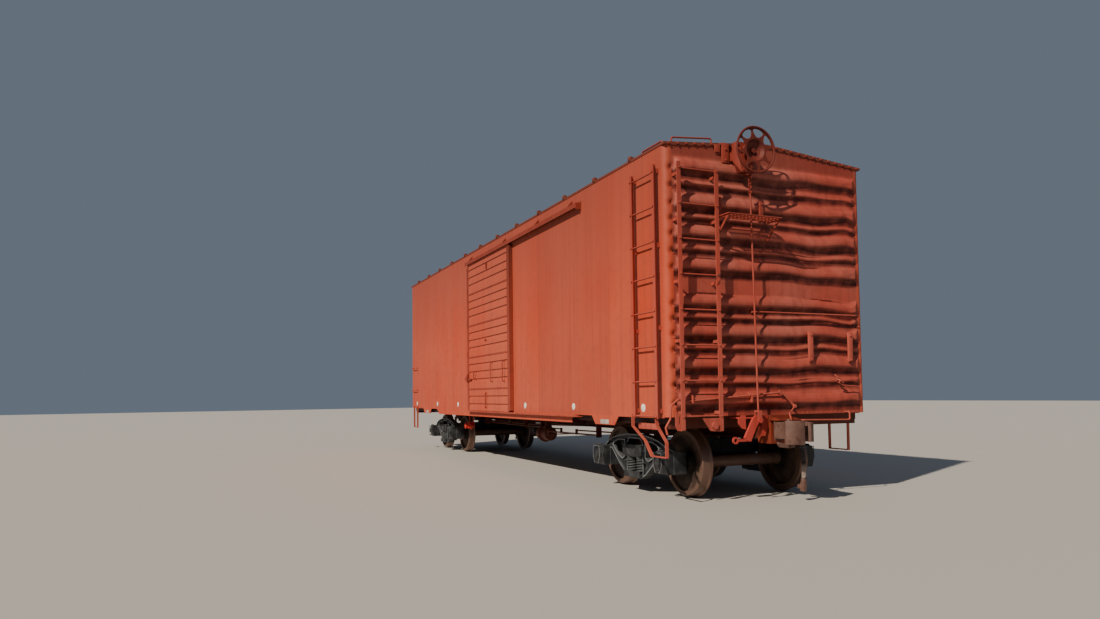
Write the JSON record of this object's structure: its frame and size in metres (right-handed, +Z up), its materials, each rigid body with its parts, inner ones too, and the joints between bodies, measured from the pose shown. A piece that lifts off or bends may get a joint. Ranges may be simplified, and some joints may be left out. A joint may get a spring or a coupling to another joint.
{
  "type": "railroad boxcar",
  "caption": "Steel railroad boxcar with rounded corner posts, ribbed ends, a sliding door on each side, ladders, hand brake and two four-wheel trucks.",
  "frame": {"origin": "middle of the car, at the level of the lowest point of the wheel flanges", "axes": "+X along the car towards the hand brake end, +Y across it, +Z up"},
  "size_m": [13.642, 3.2024, 4.4909],
  "materials": {
    "body_paint": "satin, weathered",
    "roof_paint": "matt, weathered",
    "underframe_paint": "matt, dusty",
    "truck_casting": "matt, dusty",
    "spring_steel": "matt",
    "wheel_steel": "worn tread, dull plate",
    "coupler_casting": "matt, rusted",
    "hose_rubber": "matt",
    "floor_wood": "bare, worn"
  },
  "bodies": {
    "carbody": {"air_hose_a": "hose_rubber", "air_hose_b": "hose_rubber", "air_reservoir": "underframe_paint", "angle_cocks": "coupler_casting", "bell_crank": "underframe_paint", "body_bolsters": "underframe_paint", "brake_cylinder": "underframe_paint", "brake_housing": "body_paint", "brake_rigging": "underframe_paint", "brake_rod": "body_paint", "brake_step": "body_paint", "brake_valve": "underframe_paint", "brake_wheel": "body_paint", "center_sill": "underframe_paint", "corner_posts": "body_paint", "couplers": "coupler_casting", "crossbearers": "underframe_paint", "door_stops": "body_paint", "door_tracks": "body_paint", "draft_gears": "underframe_paint", "end_sills": "underframe_paint", "end_wall_a": "body_paint", "end_wall_b": "body_paint", "floor": "floor_wood", "glad_hands": "coupler_casting", "handholds": "body_paint", "ladders": "body_paint", "roof": "roof_paint", "roof_seam_caps": "roof_paint", "side_sills": "body_paint", "side_wall_l": "body_paint", "side_wall_r": "body_paint", "sill_steps": "body_paint", "strikers": "coupler_casting", "train_pipe": "underframe_paint", "uncoupling_levers": "body_paint"},
    "truck_b": {"truck_b_bolster": "truck_casting", "truck_b_brake_beams": "truck_casting", "truck_b_side_frames": "truck_casting", "truck_b_springs": "spring_steel"},
    "wheelset_b1": {"wheels_b1": "wheel_steel", "axle_b1": "wheel_steel"},
    "wheelset_b2": {"wheels_b2": "wheel_steel", "axle_b2": "wheel_steel"},
    "truck_a": {"truck_a_bolster": "truck_casting", "truck_a_brake_beams": "truck_casting", "truck_a_side_frames": "truck_casting", "truck_a_springs": "spring_steel"},
    "wheelset_a1": {"wheels_a1": "wheel_steel", "axle_a1": "wheel_steel"},
    "wheelset_a2": {"wheels_a2": "wheel_steel", "axle_a2": "wheel_steel"},
    "side_door_l": {"door_l": "body_paint", "door_l_hardware": "body_paint"},
    "side_door_r": {"door_r": "body_paint", "door_r_hardware": "body_paint"}
  },
  "joints": [
    {"name": "truck_b_swivel", "type": "hinge", "parent": "carbody", "child": "truck_b", "pos_m": [4.7, 0, 0.69], "axis": [0, 0, 1], "range_deg": [-4, 4]},
    {"name": "wheelset_b1_roll", "type": "hinge", "parent": "truck_b", "child": "wheelset_b1", "pos_m": [5.538, 0, 0.444], "axis": [0, 1, 0], "continuous": true},
    {"name": "wheelset_b2_roll", "type": "hinge", "parent": "truck_b", "child": "wheelset_b2", "pos_m": [3.862, 0, 0.444], "axis": [0, 1, 0], "continuous": true},
    {"name": "truck_a_swivel", "type": "hinge", "parent": "carbody", "child": "truck_a", "pos_m": [-4.7, 0, 0.69], "axis": [0, 0, 1], "range_deg": [-4, 4]},
    {"name": "wheelset_a1_roll", "type": "hinge", "parent": "truck_a", "child": "wheelset_a1", "pos_m": [-5.538, 0, 0.444], "axis": [0, 1, 0], "continuous": true},
    {"name": "wheelset_a2_roll", "type": "hinge", "parent": "truck_a", "child": "wheelset_a2", "pos_m": [-3.862, 0, 0.444], "axis": [0, 1, 0], "continuous": true},
    {"name": "side_door_l_slide", "type": "slide", "parent": "carbody", "child": "side_door_l", "axis": [1, 0, 0], "range_m": [0, 2.26]},
    {"name": "side_door_r_slide", "type": "slide", "parent": "carbody", "child": "side_door_r", "axis": [-1, 0, 0], "range_m": [0, 2.26]}
  ]
}
